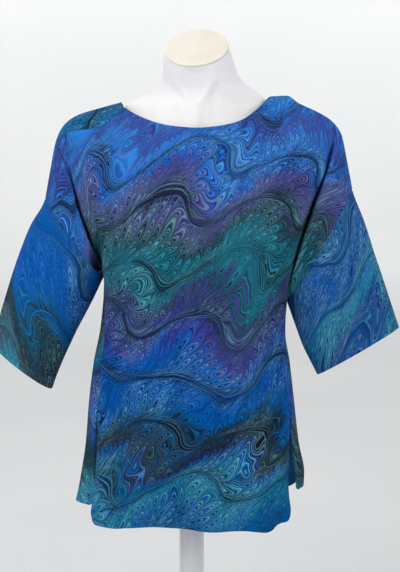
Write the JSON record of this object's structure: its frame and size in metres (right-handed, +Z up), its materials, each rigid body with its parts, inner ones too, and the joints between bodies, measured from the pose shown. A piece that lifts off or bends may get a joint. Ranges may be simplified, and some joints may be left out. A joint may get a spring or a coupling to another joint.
{
  "type": "blouse on a dress form",
  "caption": "Loose pull-on blouse with dropped shoulders, wide elbow sleeves and side slits, in marbled cloth, on a limbless dress form with a pole and a round base.",
  "frame": {"origin": "middle of the object's box, on the underside of the base", "axes": "+Z up along the pole, front of the blouse towards -Y, +X to the right as seen from the front"},
  "size_m": [0.612, 0.3, 1.0568],
  "materials": {
    "marbled_cloth": "woven rayon, combed marbling in blues, teals, violets and near-black, matte with a faint sheen",
    "form_white": "smooth white moulded form, satin",
    "cap_cream": "cream neck cap, satin",
    "pole_grey": "light grey painted tube, satin",
    "stand_grey": "light grey painted steel, satin"
  },
  "bodies": {
    "root": {"front_panel": "marbled_cloth", "back_panel": "marbled_cloth", "sleeve_left": "marbled_cloth", "sleeve_right": "marbled_cloth", "form_torso": "form_white", "neck_cap": "cap_cream", "pole": "pole_grey", "base_collar": "stand_grey", "base_plate": "stand_grey"}
  },
  "joints": []
}
